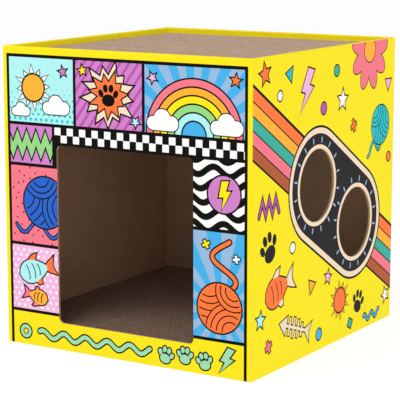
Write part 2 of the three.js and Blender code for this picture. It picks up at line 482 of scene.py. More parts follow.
# ---------------------------------------------------------------- the print
def front_art():
    a = Art("yellow")
    star5 = lambda x, y, r, ink, t=0.3: a.lined(star(x, y, r, 0.44, 5, t), ink, 1.7)
    a.put(rect(-183.0, -8, 183.0, 390.4), "black")

    # top row
    a.fill(-178.8, 301.4, -76.0, 386.2, "aqua")
    dots(a, "teal", 2.2, 8.5, fade=lambda u, v: max(0, 1.1 - 1.5 * v))
    sun(a, -140.0, 347.0, 17.0, "amber", "white")
    cloud(a, -104.0, 322.0, 11.5)
    cloud(a, -161.0, 315.0, 8.0)
    star5(-92.0, 370.0, 6.5, "orchid", 0.5)

    a.fill(-71.8, 301.4, 30.0, 386.2, "orchid")
    slants(a, "plum", 4.5, 13.5, 1.35)
    spiky = (1.0, 1.0, 0.86, 1.04, 1.08, 0.94, 0.9, 1.0, 1.05)
    a.lined(moved(star(0, 0, 50, 0.66, 13, 0.3, spiky), -21.0, 343.5, 0.05, 0.80), "cream", 2.2)
    a.lined(moved(star(0, 0, 50, 0.62, 11, 0.1, spiky), -21.0, 343.5, 0.0, 0.58), "orange", 1.9)
    paw(a, -21.0, 342.5, 15.0, "black")
    star5(-61.0, 373.5, 6.5, "yellow", 0.5)
    star5(20.0, 312.5, 6.5, "aqua", 1.0)

    a.fill(34.2, 301.4, 178.8, 386.2, "sky")
    rays(a, 106.5, 303.0, 22, "steel", 160, 0.07)
    for r, ink in ((69, "coral"), (58.5, "amber"), (48, "yellow"), (37.5, "green"), (27, "aqua"), (16.5, "sky")):
        a.put(circle(106.5, 302.0, r + 2.1, 72), "black")
        a.put(circle(106.5, 302.0, r, 72), ink)
    cloud(a, 60.0, 313.5, 12.5)
    cloud(a, 153.0, 313.5, 12.5)
    star5(166.0, 372.5, 7.5, "orange", 0.2)
    star5(46.0, 370.0, 6.5, "pink", 0.8)

    # checked band over the door
    a.fill(-106.5, 277.6, 178.8, 297.2, "white")
    checks(a, -106.5, 277.6, 9.8, 30, 2, "black")

    # left of the door; the opening cuts into the panels
    a.fill(-178.8, 247.0, -110.7, 297.2, "orchid")
    a.line([(-190 + 7.6 * t, 272 + (9.0 if t % 2 else -9.0)) for t in range(0, 13)], 7.5, "green", 2.0)

    a.fill(-178.8, 140.2, -98.0, 242.8, "coral")
    rnd = random.Random(SEED)
    placed = []
    while len(placed) < 46:
        q = (rnd.uniform(-177, -105), rnd.uniform(141, 242))
        if all(math.hypot(q[0] - o[0], q[1] - o[1]) > 8.0 for o in placed):
            placed.append(q)
            a.put(circle(q[0], q[1], 1.25, 10), "black")
    a.line([(-171 + 1.15 * t, 164 - 9 * math.sin(t / 6.5) - 0.1 * t) for t in np.linspace(0, 62, 40)], 3.2, "blue", 1.6)
    yarn(a, -124.0, 196.0, 34.0, "blue", 0.4, 2.1)

    a.fill(-178.8, 49.4, -98.0, 136.0, "pink")
    dots(a, "white", 2.0, 9.5)
    fish(a, -143.0, 103.0, 25.0, "aqua", "orange", 0.3)
    fish(a, -138.0, 68.0, 16.0, "amber", "coral", math.pi - 0.2)

    # right of the door
    a.fill(100.0, 188.6, 178.8, 273.4, "white")
    for k in range(-1, 6):
        a.put(stroke(sine(96, 184, 190.0 + 17.5 * k, 5.5, 46.0, 0.5 * k), 8.2, False), "black")
    a.lined(circle(150.0, 232.0, 23.0), "orchid", 2.2)
    bolt(a, 150.5, 231.5, 17.0, "yellow", 0.1, 1.8)

    a.fill(100.0, 49.4, 178.8, 184.4, "sky")
    rays(a, 146.0, 88.0, 14, "steel", 160, 0.11)
    a.line([(150 + 17 * math.sin(t * 1.3), 108 + 12.6 * t) for t in np.linspace(0, 5.2, 46)], 5.0, "orange", 2.0)
    yarn(a, 143.5, 88.5, 31.5, "orange", -0.5, 2.1)
    cross(a, 124.0, 168.0, 5.5, "yellow", 0.5, 1.6)
    cross(a, 167.5, 153.0, 5.0, "white", 0.2, 1.5)

    # band under the door
    a.fill(-178.8, -8, 178.8, 45.2, "yellow")
    a.anywhere()
    a.lined(circle(-159, 18.5, 9.0), "mint", 2.0)
    a.lined(circle(-159, 18.5, 3.0), "yellow", 1.4)
    a.line(sine(-136, 40, 18.0, 4.6, 35.0), 5.6, "mint", 2.0)
    for k, x in enumerate((64, 93, 122)):
        paw(a, x, 17.5 + (2.4 if k % 2 else -1.0), 11.6, "mint", -0.25 + 0.22 * k, 1.8)
    bolt(a, 154, 22.5, 17.0, "mint", -0.25, 1.9)
    return a


def right_art():
    a = Art("yellow")
    (ax, ay, _), (bx, by, _) = PEEPS
    length = math.hypot(bx - ax, by - ay)
    e = ((bx - ax) / length, (by - ay) / length)
    p = (-e[1], e[0])
    mx, my = (ax + bx) / 2, (ay + by) / 2

    # a ribbon of coloured bands that runs behind both peep holes
    def band(lo, hi, ink, x0=-330, x1=330):
        a.put([(mx + e[0] * u + p[0] * v, my + e[1] * u + p[1] * v) for u, v in ((x0, lo), (x1, lo), (x1, hi), (x0, hi))], ink)

    band(-40.6, 40.6, "black")
    for k, ink in enumerate(("brown", "coral", "leaf", "amber", "orange")):
        band(-37.9 + 15.3 * k, -37.9 + 15.3 * k + 13.6, ink)

    # long dark plate with a ring round each hole
    def stadium(r):
        t = math.atan2(e[1], e[0])
        out = [(bx + r * math.cos(t - math.pi / 2 + math.pi * i / 30), by + r * math.sin(t - math.pi / 2 + math.pi * i / 30)) for i in range(31)]
        out += [(ax + r * math.cos(t + math.pi / 2 + math.pi * i / 30), ay + r * math.sin(t + math.pi / 2 + math.pi * i / 30)) for i in range(31)]
        return out

    a.put(stadium(78.4), "black")
    a.put(stadium(75.4), "cream")
    a.put(stadium(68.0), "charcoal")
    for cx, cy in ((ax, ay), (bx, by)):
        for k in range(16):
            t = TAU * (k + 0.5) / 16
            other = (bx, by) if (cx, cy) == (ax, ay) else (ax, ay)
            tip = (cx + 62.5 * math.cos(t), cy + 62.5 * math.sin(t))
            if math.hypot(tip[0] - other[0], tip[1] - other[1]) > 62:
                a.put(stroke([(cx + 57.0 * math.cos(t), cy + 57.0 * math.sin(t)), tip], 2.6), "steel")
        a.put(circle(cx, cy, 53.4, 96), "cream")

    star5 = lambda x, y, r, ink, t=0.3, w=2.0: a.lined(star(x, y, r, 0.46, 5, t), ink, w)
    # upper right
    a.inside(-204, -10, 204, HEIGHT - 0.6)
    flower(a, 118.0, 388.0, 54.0, "coral", "amber", 9, 0.12)
    a.anywhere()
    a.line([(158 - 0.95 * t, 258 - 0.2 * t - 8 * math.sin(t / 5.5)) for t in np.linspace(0, 44, 34)], 3.0, "teal", 1.7)
    yarn(a, 155.0, 282.0, 27.0, "teal", 0.9)
    star5(38.0, 328.0, 14.0, "white", 0.25)
    cross(a, 72.0, 290.0, 8.0, "orange", 0.35, 1.8)
    a.lined(ngon(178.0, 338.0, 10.0, 3, 0.5), "pink", 1.9)
    a.lined(circle(20.0, 368.0, 7.0), "leaf", 1.9)
    a.lined(circle(183.0, 234.0, 6.0), "orange", 1.9)
    # upper left
    bolt(a, -62.0, 350.0, 28.0, "pink", -0.25, 2.1)
    a.lined(ngon(-108.0, 374.0, 10.5, 3, 0.9), "teal", 1.9)
    a.lined(circle(-16.0, 322.0, 7.5), "plum", 1.9)
    star5(-171.0, 379.0, 13.5, "orange", 0.5)
    a.lined(circle(-133.0, 349.0, 6.0), "white", 1.9)
    # left, under the ribbon
    a.line([(-184 + 8.4 * t, 214 + (9.5 if t % 2 else -9.5)) for t in range(0, 7)], 4.0, "plum", 1.9)
    paw(a, -158.0, 161.0, 21.0, "charcoal", 0.35)
    fish(a, -136.0, 104.0, 31.0, "orange", "cream", 0.25, 2.0)
    a.lined(circle(-97.0, 152.0, 6.5), "white", 1.9)
    star5(-179.0, 74.0, 11.0, "aqua", 0.2)
    bones(a, -84.0, 44.0, 32.0, "cream", -0.32, 1.8)
    cross(a, -158.0, 36.0, 8.0, "coral", 0.4, 1.8)
    a.lined(ngon(-44.0, 92.0, 10.5, 3, 0.2), "amber", 1.9)
    a.lined(circle(-22.0, 22.0, 7.5), "sky", 1.9)
    # lower right
    sun(a, 38.0, 56.0, 16.0, "orange", "amber", 12)
    paw(a, 94.0, 42.0, 17.0, "charcoal", -0.3)
    star5(2.0, 95.0, 9.0, "pink", 0.1)
    a.lined(ngon(70.0, 17.0, 7.5, 4, 0.3), "leaf", 1.9)
    a.line(sine(112, 160, 15.0, 4.4, 22.0), 3.6, "sky", 1.8)
    star5(181.0, 35.0, 10.5, "white", 0.6)
    return a


def back_art():
    a = Art("yellow")
    a.put(rect(-183.0, -8, 183.0, 390.4), "black")
    star5 = lambda x, y, r, ink, t=0.3: a.lined(star(x, y, r, 0.45, 5, t), ink, 1.9)

    a.fill(-178.8, 232.0, 20.0, 386.2, "aqua")
    rays(a, -80.0, 306.0, 18, "white", 300, 0.1)
    flower(a, -80.0, 307.0, 62.0, "coral", "amber", 10, 0.2)
    star5(-160.0, 366.0, 9.0, "orange", 0.4)
    star5(2.0, 250.0, 8.0, "orchid", 0.7)
    cross(a, -160.0, 250.0, 7.0, "sky", 0.3, 1.8)

    a.fill(24.2, 232.0, 178.8, 386.2, "orchid")
    dots(a, "plum", 2.4, 9.0, fade=lambda u, v: max(0.0, 1.1 - v))
    a.line([(90 + 0.9 * t, 262 - 5.5 * math.sin(t / 6.0)) for t in np.linspace(0, 72, 48)], 3.6, "yellow", 1.8)
    yarn(a, 104.0, 312.0, 42.0, "yellow", 0.3)
    star5(44.0, 366.0, 8.0, "cream", 0.2)
    star5(162.0, 360.0, 7.0, "cream", 0.8)

    a.fill(-178.8, 53.0, -62.0, 227.8, "sky")
    for k, ink in enumerate(("white", "steel", "white", "teal", "white", "steel")):
        a.line(sine(-190, -55, 206.0 - 27.0 * k, 6.5, 40.0, 0.9 * k), 9.0, ink, 1.9)

    a.fill(-57.8, 53.0, 74.0, 227.8, "pink")
    scallops(a, ("coral", "cream", "amber"), 16.5)

    a.fill(78.2, 142.0, 178.8, 227.8, "mint")
    dots(a, "leaf", 1.5, 9.0)
    fish(a, 119.0, 187.0, 32.0, "orange", "cream", -0.2)

    a.fill(78.2, 53.0, 178.8, 137.8, "coral")
    slants(a, "salmon", 6.0, 14.0, 1.0)
    paw(a, 128.0, 94.0, 30.0, "black", 0.2)

    a.fill(-178.8, -8, 178.8, 48.8, "yellow")
    for k in range(11):
        x = -160 + 32 * k
        if k % 3 == 0:
            a.lined(circle(x, 22.0, 8.5), "mint", 1.9)
        elif k % 3 == 1:
            a.lined(ngon(x, 20.5, 11.0, 3, math.pi / 2), "mint", 1.9)
        else:
            a.lined(rect(x - 7.5, 14.0, x + 7.5, 29.0), "mint", 1.9)
    return a


def left_art():
    a = Art("yellow")
    e = (math.cos(0.62), math.sin(0.62))
    p = (-e[1], e[0])

    def band(lo, hi, ink):
        a.put([(e[0] * u + p[0] * v, 196 + e[1] * u + p[1] * v) for u, v in ((-360, lo), (360, lo), (360, hi), (-360, hi))], ink)

    band(-34.2, 34.2, "black")
    for k, ink in enumerate(("orange", "amber", "leaf", "coral")):
        band(-31.5 + 16.1 * k, -31.5 + 16.1 * k + 14.5, ink)
    a.put(circle(0, 196, 93.4, 96), "black")
    a.put(circle(0, 196, 90.4, 96), "cream")
    a.put(circle(0, 196, 82.0, 96), "charcoal")
    for k in range(24):
        t = TAU * k / 24
        a.put(stroke([(66 * math.cos(t), 196 + 66 * math.sin(t)), (75 * math.cos(t), 196 + 75 * math.sin(t))], 2.8), "steel" if k % 2 else "amber")
    a.put(circle(0, 196, 58.5, 96), "cream")
    yarn(a, 0, 196, 53.0, "coral", 0.2)
    star5 = lambda x, y, r, ink, t=0.3, w=2.0: a.lined(star(x, y, r, 0.46, 5, t), ink, w)
    flower(a, -140.0, 330.0, 44.0, "pink", "white", 8, 0.2)
    bolt(a, -60.0, 342.0, 28.0, "teal", 0.2, 2.1)
    star5(22.0, 350.0, 14.0, "orange", 0.4)
    cross(a, 76.0, 334.0, 9.0, "plum", 0.3, 1.8)
    a.lined(circle(112.0, 374.0, 8.0), "sky", 1.9)
    fish(a, -138.0, 248.0, 28.0, "sky", "cream", 0.4)
    a.lined(ngon(-176.0, 196.0, 10.0, 3, 0.4), "coral", 1.9)
    paw(a, -106.0, 34.0, 20.0, "charcoal", 0.4)
    paw(a, 152.0, 377.0, 15.5, "charcoal", -0.4)
    bones(a, 62.0, 62.0, 33.0, "cream", 0.3, 1.8)
    sun(a, 150.0, 120.0, 20.0, "orange", "amber", 12)
    star5(110.0, 28.0, 10.5, "aqua", 0.5)
    star5(-66.0, 74.0, 13.0, "white", 0.2)
    cross(a, -22.0, 30.0, 8.0, "sky", 0.5, 1.8)
    a.line(sine(110, 176, 212.0, 5.4, 26.0), 4.0, "plum", 1.8)
    a.lined(circle(176.0, 60.0, 7.0), "plum", 1.9)
    a.lined(circle(-172.0, 138.0, 7.0), "leaf", 1.9)
    a.line([(-40 + 8.4 * t, 314 + (8.5 if t % 2 else -8.5)) for t in range(0, 7)], 4.0, "sky", 1.9)
    return a


# ---------------------------------------------------------------- materials
def material(name):
    m = bpy.data.materials.new(name)
    m.use_nodes = True
    nt = m.node_tree
    nt.nodes.clear()
    out = nt.nodes.new("ShaderNodeOutputMaterial")
    bsdf = nt.nodes.new("ShaderNodeBsdfPrincipled")
    nt.links.new(bsdf.outputs[0], out.inputs[0])
    return m, nt, bsdf


class Net:
    """Short names for the nodes that the materials use."""

    def __init__(self, nt):
        self.nt = nt

    def node(self, kind, **settings):
        n = self.nt.nodes.new(kind)
        for k, v in settings.items():
            setattr(n, k, v)
        return n

    def join(self, a, b):
        self.nt.links.new(a, b)

    def set(self, socket, value):
        if isinstance(value, bpy.types.NodeSocket):
            self.join(value, socket)
        else:
            socket.default_value = value

    def math(self, op, a, b=0.0, c=0.0, clamp=False):
        n = self.node("ShaderNodeMath", operation=op, use_clamp=clamp)
        for s, v in zip(n.inputs, (a, b, c)):
            self.set(s, v)
        return n.outputs[0]

    def range(self, v, a, b, c=0.0, d=1.0, smooth=False):
        n = self.node("ShaderNodeMapRange", interpolation_type="SMOOTHSTEP" if smooth else "LINEAR")
        self.set(n.inputs["Value"], v)
        for s, x in zip(("From Min", "From Max", "To Min", "To Max"), (a, b, c, d)):
            self.set(n.inputs[s], x)
        return n.outputs["Result"]

    def mix(self, f, a, b, blend="MIX"):
        n = self.node("ShaderNodeMix", data_type="RGBA", blend_type=blend)
        self.set(n.inputs[0], f)
        self.set(n.inputs[6], a)
        self.set(n.inputs[7], b)
        return n.outputs[2]

    def at(self, scale=(1, 1, 1), turn=(0, 0, 0)):
        c = self.node("ShaderNodeTexCoord")
        m = self.node("ShaderNodeMapping")
        m.inputs["Scale"].default_value = scale
        m.inputs["Rotation"].default_value = turn
        self.join(c.outputs["Object"], m.inputs["Vector"])
        return m.outputs["Vector"]

    def noise(self, vector, scale, detail=2.0, rough=0.5, distort=0.0):
        n = self.node("ShaderNodeTexNoise")
        self.join(vector, n.inputs["Vector"])
        n.inputs["Scale"].default_value = scale
        n.inputs["Detail"].default_value = detail
        n.inputs["Roughness"].default_value = rough
        n.inputs["Distortion"].default_value = distort
        return n.outputs["Fac"]

    def xyz(self):
        c = self.node("ShaderNodeTexCoord")
        s = self.node("ShaderNodeSeparateXYZ")
        self.join(c.outputs["Object"], s.inputs[0])
        return s.outputs

    def bump(self, height, strength, distance, before=None):
        n = self.node("ShaderNodeBump")
        n.inputs["Strength"].default_value = strength
        n.inputs["Distance"].default_value = distance
        self.join(height, n.inputs["Height"])
        if before is not None:
            self.join(before, n.inputs["Normal"])
        return n.outputs["Normal"]


def flute_wave(net, coord, pitch):
    """0 to 1 along the board, once for each flute."""
    turns = net.math("MULTIPLY", coord, TAU / (pitch * MM))
    return net.math("MULTIPLY_ADD", net.math("SINE", turns), 0.5, 0.5)


def printed(name, along):
    """Printed paper over flutes: ink from the sheet's own colours, faint fibre, painted shade of the flutes showing
    through, rubbed folds with painted shade along them.
    """
    m, nt, bsdf = material(name)
    n = Net(nt)
    ink = n.node("ShaderNodeAttribute", attribute_name="ink", attribute_type="GEOMETRY")
    x, y, z = n.xyz()
    across = {"x": x, "y": y}[along]
    wave = flute_wave(n, across, PITCH)
    mottle = n.noise(n.at(), 210.0, 3.0, 0.6)
    fibre = n.noise(n.at((1, 1, 0.35) if along in "xy" else (1, 1, 1)), 2600.0, 2.0, 0.6)
    broad = n.noise(n.at(), 9.0, 2.0, 0.5)
    # brightness of the ink film, with painted shade of the flutes beneath
    level = n.math("ADD", n.range(mottle, 0.3, 0.7, 0.972, 1.012), n.range(fibre, 0.25, 0.75, -0.022, 0.022))
    # painted shade: darker and lighter bands with the flutes, standing for the shading of their relief
    level = n.math("ADD", level, n.range(wave, 0.0, 1.0, -0.010, 0.006))
    level = n.math("ADD", level, n.range(broad, 0.3, 0.7, -0.012, 0.008))
    tone = n.node("ShaderNodeCombineXYZ")
    for s in tone.inputs:
        n.join(level, s)
    base = n.mix(1.0, ink.outputs["Color"], tone.outputs[0], "MULTIPLY")
    # the film cracks a little along the folds, and the folds also get painted shade
    ax, ay = n.math("ABSOLUTE", x), n.math("ABSOLUTE", y)
    near_x = n.range(ax, (WIDTH / 2 - 2.6) * MM, (WIDTH / 2 - 0.9) * MM, 0, 1, True)
    near_y = n.range(ay, (DEPTH / 2 - 2.6) * MM, (DEPTH / 2 - 0.9) * MM, 0, 1, True)
    upright = n.math("MULTIPLY", near_x, near_y)
    rim = n.range(z, (HEIGHT - 1.6) * MM, (HEIGHT - 0.5) * MM, 0, 1, True)
    foot = n.range(z, 2.2 * MM, 0.6 * MM, 0, 1, True)
    crease_wear_and_shade = n.math("MAXIMUM", upright, n.math("MAXIMUM", n.math("MULTIPLY", rim, 0.45), n.math("MULTIPLY", foot, 0.8)))
    specks = n.range(n.noise(n.at(), 900.0, 3.0, 0.7), 0.50, 0.66, 0, 1, True)
    patch = n.range(n.noise(n.at(), 60.0, 2.0, 0.5), 0.40, 0.62, 0, 1, True)
    rub = n.math("MULTIPLY", crease_wear_and_shade, n.math("MULTIPLY", specks, patch))
    base = n.mix(n.math("MULTIPLY", rub, 0.55), base, (*lin(240, 226, 170), 1))
    # painted shade: the folds are darkened a little toward a deeper yellow
    base = n.mix(n.math("MULTIPLY", crease_wear_and_shade, 0.10), base, (*lin(214, 186, 40), 1))
    n.join(base, bsdf.inputs["Base Color"])
    # raw paper edges are rougher than the varnished face; the second input tells them apart
    rough = n.range(mottle, 0.3, 0.7, 0.47, 0.56)
    rough = n.math("ADD", rough, n.math("MULTIPLY", n.math("SUBTRACT", 1.0, ink.outputs["Alpha"]), 0.35))
    rough = n.math("ADD", rough, n.math("MULTIPLY", rub, 0.25))
    n.join(rough, bsdf.inputs["Roughness"])
    bsdf.inputs["Specular IOR Level"].default_value = 0.05
    relief = n.bump(wave, 0.22, 0.10 * MM)
    relief = n.bump(fibre, 0.10, 0.05 * MM, relief)
    relief = n.bump(n.noise(n.at(), 34.0, 2.0, 0.5), 0.10, 0.5 * MM, relief)
    n.join(relief, bsdf.inputs["Normal"])
    return m


def kraft(name, colour, along="x", grain="z", pitch=PITCH, stripe=0.05, fleck=1.0, deep=None, shade_near_top=0.3, speckle=0.0, worn=0.0, top=0.0):
    """Plain kraft board: long pulp fibres, specks of bark and lint, flutes showing through as bands of painted shade,
    and with deep, painted shade on the walls of the cells.
    """
    m, nt, bsdf = material(name)
    n = Net(nt)
    x, y, z = n.xyz()
    wave = flute_wave(n, {"x": x, "y": y, "z": z}[along], pitch)
    stretch = {"x": (0.10, 1, 1), "y": (1, 0.10, 1), "z": (1, 1, 0.10)}[grain]
    long_fibre = n.noise(n.at(stretch), 900.0, 3.0, 0.65, 0.3)
    fine = n.noise(n.at(), 1900.0, 3.0, 0.6)
    blotch = n.noise(n.at(), 38.0, 4.0, 0.6)
    broad = n.noise(n.at(), 6.0, 2.0, 0.5)
    c = np.array(colour)
    dark, light = tuple(c * (0.74, 0.70, 0.66)), tuple(np.minimum(c * (1.20, 1.21, 1.23), 0.95))
    mixing = n.math("ADD", n.range(long_fibre, 0.28, 0.72, -0.22, 0.26), n.range(blotch, 0.3, 0.7, 0.36, 0.62))
    mixing = n.math("ADD", mixing, n.range(fine, 0.3, 0.7, -0.12, 0.12))
    # painted shade: darker and lighter bands with the flutes, standing for the shadow of their relief
    mixing = n.math("ADD", mixing, n.range(wave, 0.0, 1.0, -stripe, stripe))
    if speckle:
        # each strip was cut from another place of the sheet, and its top is torn rough by the saw
        strips = n.noise(n.at((0.02, 1, 0.02)), 420.0, 1.0, 0.5)
        torn = n.noise(n.at((0.55, 1, 1)), 330.0, 3.0, 0.75)
        mixing = n.math("ADD", mixing, n.range(strips, 0.3, 0.7, -0.5 * speckle, 0.5 * speckle))
        mixing = n.math("ADD", mixing, n.range(torn, 0.34, 0.66, -speckle, speckle))
    if worn:
        # paws and claws drag across the strips
        drag = n.noise(n.at((1, 0.26, 1)), 340.0, 2.0, 0.6)
        mixing = n.math("ADD", mixing, n.range(drag, 0.32, 0.68, -worn, worn))
        dark, light = tuple(np.array(dark) * (1 - 0.55 * worn)), tuple(np.array(light) * (1 + 0.36 * worn))
    mixing = n.math("ADD", mixing, n.range(broad, 0.3, 0.7, -0.06, 0.06), clamp=True)
    base = n.mix(mixing, (*dark, 1), (*light, 1))
    bark = n.range(n.noise(n.at(stretch), 2100.0, 2.0, 0.5), 0.665, 0.70, 0, 1, True)
    lint = n.range(n.noise(n.at((1, 1, 1), (0.5, 0.2, 0.9)), 1500.0, 2.0, 0.5), 0.675, 0.71, 0, 1, True)
    base = n.mix(n.math("MULTIPLY", bark, 0.55 * fleck), base, (*tuple(c * (0.38, 0.32, 0.28)), 1))
    base = n.mix(n.math("MULTIPLY", lint, 0.35 * fleck), base, (*tuple(np.minimum(c * 1.75, 0.95)), 1))
    if deep:
        # painted shade: the upright walls of the cells are darkened, more so further down below the top, while the flat
        # cut tops keep their colour
        g = n.node("ShaderNodeNewGeometry")
        s = n.node("ShaderNodeSeparateXYZ")
        n.join(g.outputs["Normal"], s.inputs[0])
        side = n.range(n.math("ABSOLUTE", s.outputs[2]), 0.2, 0.8, 1.0, 0.0)
        low = n.range(z, (top - 1.2) * MM, (top - 0.2) * MM, 1.0, shade_near_top, True)
        base = n.mix(n.math("MULTIPLY", n.math("MULTIPLY", side, low), deep), base, (*tuple(c * (0.40, 0.34, 0.29)), 1))
    n.join(base, bsdf.inputs["Base Color"])
    n.join(n.range(fine, 0.3, 0.7, 0.80, 0.95), bsdf.inputs["Roughness"])
    bsdf.inputs["Specular IOR Level"].default_value = 0.22
    relief = n.bump(wave, 0.35, 0.12 * MM)
    relief = n.bump(long_fibre, 0.22, 0.07 * MM, relief)
    relief = n.bump(fine, 0.15, 0.05 * MM, relief)
    n.join(relief, bsdf.inputs["Normal"])
    return m


KRAFT = lin(174, 139, 110)
PAD = lin(223, 195, 172)
# painted shade: the floor pad is the same paper as the top pad, made darker because it lies in shade inside the house
FLOOR_PAD_SHADED = lin(182, 156, 138)
MAT = {
    "print_x": printed("printed_board_x", "x"),
    "print_y": printed("printed_board_y", "y"),
    "cut": kraft("kraft_cut_edge", lin(248, 203, 146), "z", "z", 1.3, 0.08, 0.6),
    "kraft_x": kraft("kraft_board_x", KRAFT, "x", "z", stripe=0.035),
    "kraft_y": kraft("kraft_board_y", KRAFT, "y", "z", stripe=0.030),
    "kraft_back": kraft("kraft_board_back", lin(182, 147, 117), "x", "z", stripe=0.035),
    "kraft_flat_x": kraft("kraft_board_flat_x", KRAFT, "x", "y"),
    "kraft_flat_y": kraft("kraft_board_flat_y", KRAFT, "y", "x"),
    # both pads get painted shade on the upright walls of their cells, stronger on the floor pad
    "pad": kraft("scratch_pad_paper", PAD, "x", "z", 7.8, 0.02, 0.7, deep=0.75, speckle=0.20, top=392.0),
    "floor_pad": kraft("floor_pad_paper_shaded", FLOOR_PAD_SHADED, "x", "z", 7.8, 0.02, 0.7, deep=1.0, shade_near_top=0.9, speckle=0.24, worn=0.44, top=32.6),
}


# ---------------------------------------------------------------- mesh building
class Solid:
    """Collects vertices (in mm, any frame) and faces. cut marks the faces where the board was cut through."""

    def __init__(self):
        self.v, self.f, self.n, self.cut = [], [], 0, []

    def add(self, verts, faces, cut=None):
        self.v.append(np.asarray(verts, float).reshape(-1, 3))
        base = self.n
        self.f += [tuple(base + i for i in f) for f in faces]
        self.cut += cut or [0] * len(faces)
        self.n += len(self.v[-1])
        return base

    def verts(self):
        return np.concatenate(self.v) if self.v else np.zeros((0, 3))


def piece(name, verts, faces, mat, body, nodes, ink=None, uv=None, cut=None):
    me = bpy.data.meshes.new(name)
    me.from_pydata((np.asarray(verts) * MM).tolist(), [], faces)
    me.update()
    if ink is not None:
        layer = me.color_attributes.new("ink", "FLOAT_COLOR", "CORNER")
        layer.data.foreach_set("color", np.asarray(ink, np.float32).ravel())
    if uv is not None:
        layer = me.uv_layers.new(name="OFBake")
        layer.uv.foreach_set("vector", np.asarray(uv, np.float32).ravel())
    me.materials.append(mat)
    if cut is not None:
        me.materials.append(MAT["cut"])
        me.polygons.foreach_set("material_index", np.asarray(cut, np.int32))
    ob = bpy.data.objects.new(name, me)
    bpy.context.scene.collection.objects.link(ob)
    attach(ob, body)
    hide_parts(*nodes)
    return ob


def triangulate(loops, lines=(), shapes=(), windows=()):
    """Cuts the region inside loops[0] and outside the other loops into triangles along every shape's outline.
    Returns 2-D points, triangles and, for each triangle, the index of the topmost shape over it or -1."""
    verts, edges, faces = [], [], []

    def face(poly):
        if signed_area(poly) < 0:
            poly = poly[::-1]
        i = len(verts)
        verts.extend(Vector(q) for q in poly)
        faces.append(list(range(i, i + len(poly))))

    for loop in loops:
        face(list(loop))
    n_loops = len(loops)
    for w in windows:
        face(w)
    n_win = len(windows)
    for poly, _, _ in shapes:
        face(poly)
    for a, b in lines:
        i = len(verts)
        verts.extend((Vector(a), Vector(b)))
        edges.append((i, i + 1))
    pts, _, tris, _, _, owners = delaunay_2d_cdt(verts, edges, faces, 1, 1e-4)
    keep, tops = [], []
    for tri, own in zip(tris, owners):
        own = set(own)
        if 0 not in own or any(k in own for k in range(1, n_loops)):
            continue
        top = -1
        for k in sorted((k - n_loops - n_win for k in own if k >= n_loops + n_win), reverse=True):
            w = shapes[k][2]
            if w is None or n_loops + w in own:
                top = k
                break
        a, b, c = (pts[i] for i in tri)
        if abs((b - a).cross(c - a)) < 1e-9:
            continue
        keep.append(tuple(tri))
        tops.append(top)
    used = sorted({i for tri in keep for i in tri})
    place = {i: k for k, i in enumerate(used)}
    return np.array([tuple(pts[i]) for i in used]), [tuple(place[i] for i in tri) for tri in keep], tops


def rim_edges(tris):
    """The directed edges that only one triangle has."""
    seen = set()
    for t in tris:
        for i in range(3):
            seen.add((t[i], t[(i + 1) % 3]))
    return [e for e in seen if (e[1], e[0]) not in seen]


def crossings(loops, u):
    """Where the upright line at u is inside the outer loop and outside the holes, as (low, high) pairs."""
    hits = []
    for loop in loops:
        for (x0, y0), (x1, y1) in zip(loop, loop[1:] + loop[:1]):
            if (x0 <= u) != (x1 <= u):
                hits.append(y0 + (y1 - y0) * (u - x0) / (x1 - x0))
    hits.sort()
    return [(hits[i], hits[i + 1]) for i in range(0, len(hits) - 1, 2) if hits[i + 1] - hits[i] > 0.6]


def slab(solid, loops, d0, d1):
    """A flat sheet from depth d0 to d1, cut to the loops. Local axes: u, depth, v."""
    pts, tris, _ = triangulate([list(l) for l in loops])
    n = len(pts)
    front = np.column_stack([pts[:, 0], np.full(n, d0), pts[:, 1]])
    back = np.column_stack([pts[:, 0], np.full(n, d1), pts[:, 1]])
    faces = [t for t in tris] + [(t[2] + n, t[1] + n, t[0] + n) for t in tris]
    sides = [(b, a, a + n, b + n) for a, b in rim_edges(tris)]
    solid.add(np.concatenate([front, back]), faces + sides, [0] * len(faces) + [1] * len(sides))


def flutes(solid, loops, d0, d1, pitch=PITCH, upright=True, phase=0.0, steps=8, inset=0.15):
    """The wavy medium between depths d0 and d1. Its channels run along v, or along u if not upright."""
    if not upright:
        loops = [[(y, x) for x, y in l] for l in loops]
    lo, hi = min(x for x, _ in loops[0]), max(x for x, _ in loops[0])
    count = int((hi - lo) / (pitch / steps))
    us = np.linspace(lo + 0.05, hi - 0.05, count + 1)
    mid, amp, half = (d0 + d1) / 2, (d1 - d0 - MEDIUM) / 2, MEDIUM / 2
    turn = TAU * us / pitch + phase
    y = mid + amp * np.sin(turn)
    slope = amp * TAU / pitch * np.cos(turn)
    nx, ny = -slope / np.hypot(1, slope), 1 / np.hypot(1, slope)
    verts, faces, cut = [], [], []
    for i in range(count):
        for v0, v1 in crossings(loops, (us[i] + us[i + 1]) / 2):
            v0, v1 = v0 + inset, v1 - inset
            b = len(verts)
            for k in (i, i + 1):
                for s in (-1, 1):
                    for v in (v0, v1):
                        q = (us[k] + s * half * nx[k], y[k] + s * half * ny[k], v)
                        verts.append(q if upright else (q[2], q[1], q[0]))
            quads = [(b, b + 4, b + 5, b + 1), (b + 2, b + 3, b + 7, b + 6), (b, b + 2, b + 6, b + 4), (b + 1, b + 5, b + 7, b + 3)]
            faces += quads if upright else [q[::-1] for q in quads]
            cut += [0, 0, 1, 1]
    solid.add(verts, faces, cut)


def along(loop, step):
    """The closed loop again, with a point about every step."""
    out = []
    for (x0, y0), (x1, y1) in zip(loop, loop[1:] + loop[:1]):
        n = max(1, round(math.hypot(x1 - x0, y1 - y0) / step))
        out += [(x0 + (x1 - x0) * i / n, y0 + (y1 - y0) * i / n) for i in range(n)]
    return out


